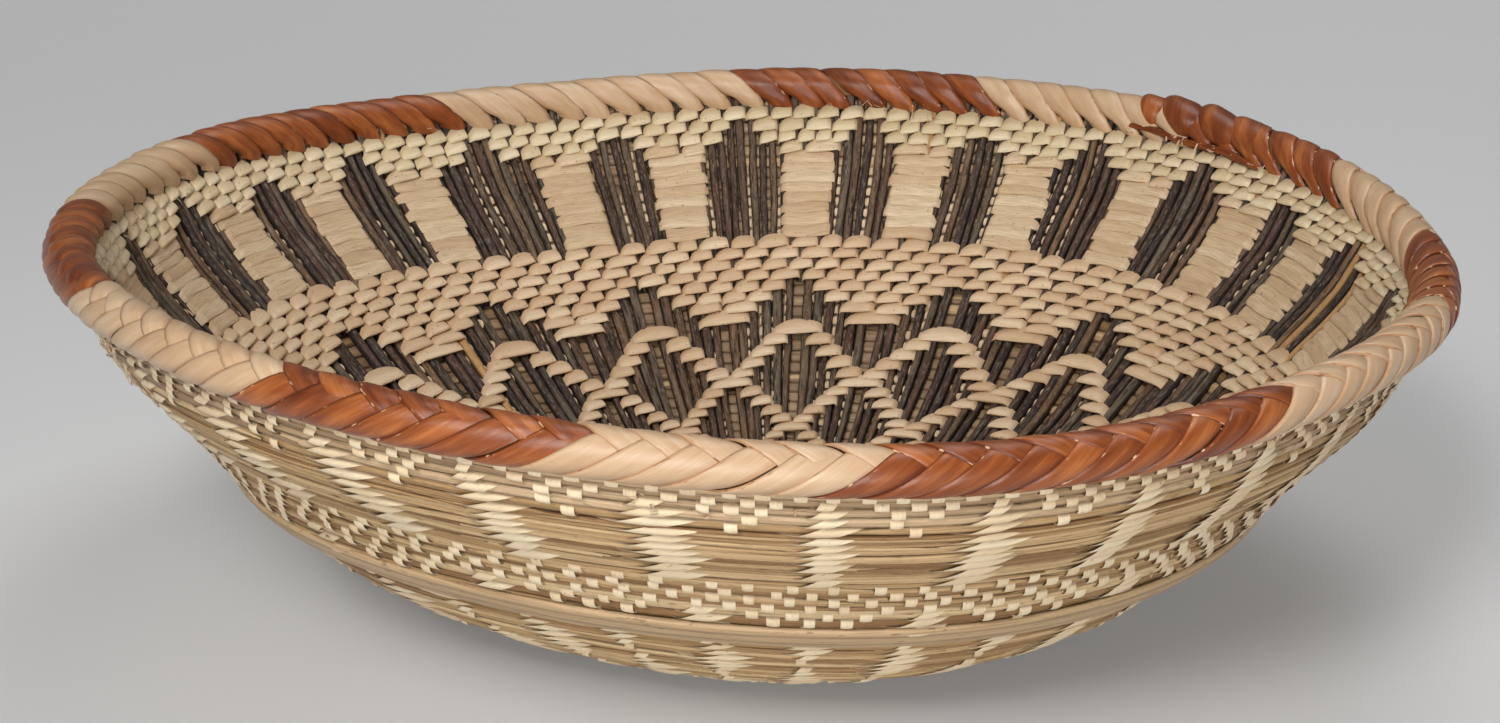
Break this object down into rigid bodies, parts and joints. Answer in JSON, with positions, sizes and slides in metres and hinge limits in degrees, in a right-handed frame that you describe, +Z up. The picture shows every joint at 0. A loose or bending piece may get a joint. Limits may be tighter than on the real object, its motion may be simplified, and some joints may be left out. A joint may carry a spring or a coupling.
{
  "type": "basket bowl",
  "caption": "Wide shallow handmade basket bowl in wrapped twining: dark sticks and pale palm stitches inside, grass rows outside, and a rolled rim bound in natural and dyed strips.",
  "frame": {"origin": "on the table, under the middle of the rim's outer box", "axes": "+Z up; -Y towards the picture's camera, +X to its right"},
  "size_m": [0.3924, 0.392, 0.1204],
  "materials": {
    "dry_grass": "matt dry grass stems",
    "dark_bark": "matt dark bark",
    "pale_palm": "soft satin palm leaf strip",
    "natural_strip": "satin palm leaf strip",
    "dyed_strip": "satin palm leaf strip, dyed red-brown",
    "rim_core_grass": "matt bundled grass"
  },
  "bodies": {
    "root": {"floor_weft": "dry_grass", "under_weft": "dry_grass", "base_splint": "dry_grass", "lower_weft": "dry_grass", "upper_weft": "dry_grass", "centre_start": "dark_bark", "stick_group_01": "dark_bark", "stick_group_02": "dark_bark", "stick_group_03": "dark_bark", "stick_group_04": "dark_bark", "stick_group_05": "dark_bark", "stick_group_06": "dark_bark", "stick_group_07": "dark_bark", "stick_group_08": "dark_bark", "stick_group_09": "dark_bark", "stick_group_10": "dark_bark", "stick_group_11": "dark_bark", "stick_group_12": "dark_bark", "stick_group_13": "dark_bark", "stick_group_14": "dark_bark", "stick_group_15": "dark_bark", "stick_group_16": "dark_bark", "stick_group_17": "dark_bark", "stick_group_18": "dark_bark", "stick_group_19": "dark_bark", "stick_group_20": "dark_bark", "stick_group_21": "dark_bark", "stick_group_22": "dark_bark", "stick_group_23": "dark_bark", "stick_group_24": "dark_bark", "stick_group_25": "dark_bark", "stick_group_26": "dark_bark", "stick_group_27": "dark_bark", "stick_group_28": "dark_bark", "upper_palm_band": "pale_palm", "middle_palm_band": "pale_palm", "star_zigzag_1": "pale_palm", "star_zigzag_2": "pale_palm", "floor_palm": "pale_palm", "inner_hoop": "rim_core_grass", "outer_hoop": "rim_core_grass", "dyed_wrap_1": "dyed_strip", "dyed_wrap_2": "dyed_strip", "dyed_wrap_3": "dyed_strip", "dyed_wrap_4": "dyed_strip", "dyed_wrap_5": "dyed_strip", "dyed_wrap_6": "dyed_strip", "dyed_wrap_7": "dyed_strip", "natural_wrap_1": "natural_strip", "natural_wrap_2": "natural_strip", "natural_wrap_3": "natural_strip", "natural_wrap_4": "natural_strip", "natural_wrap_5": "natural_strip", "natural_wrap_6": "natural_strip", "natural_wrap_7": "natural_strip", "rim_splice": "dyed_strip"}
  },
  "joints": []
}
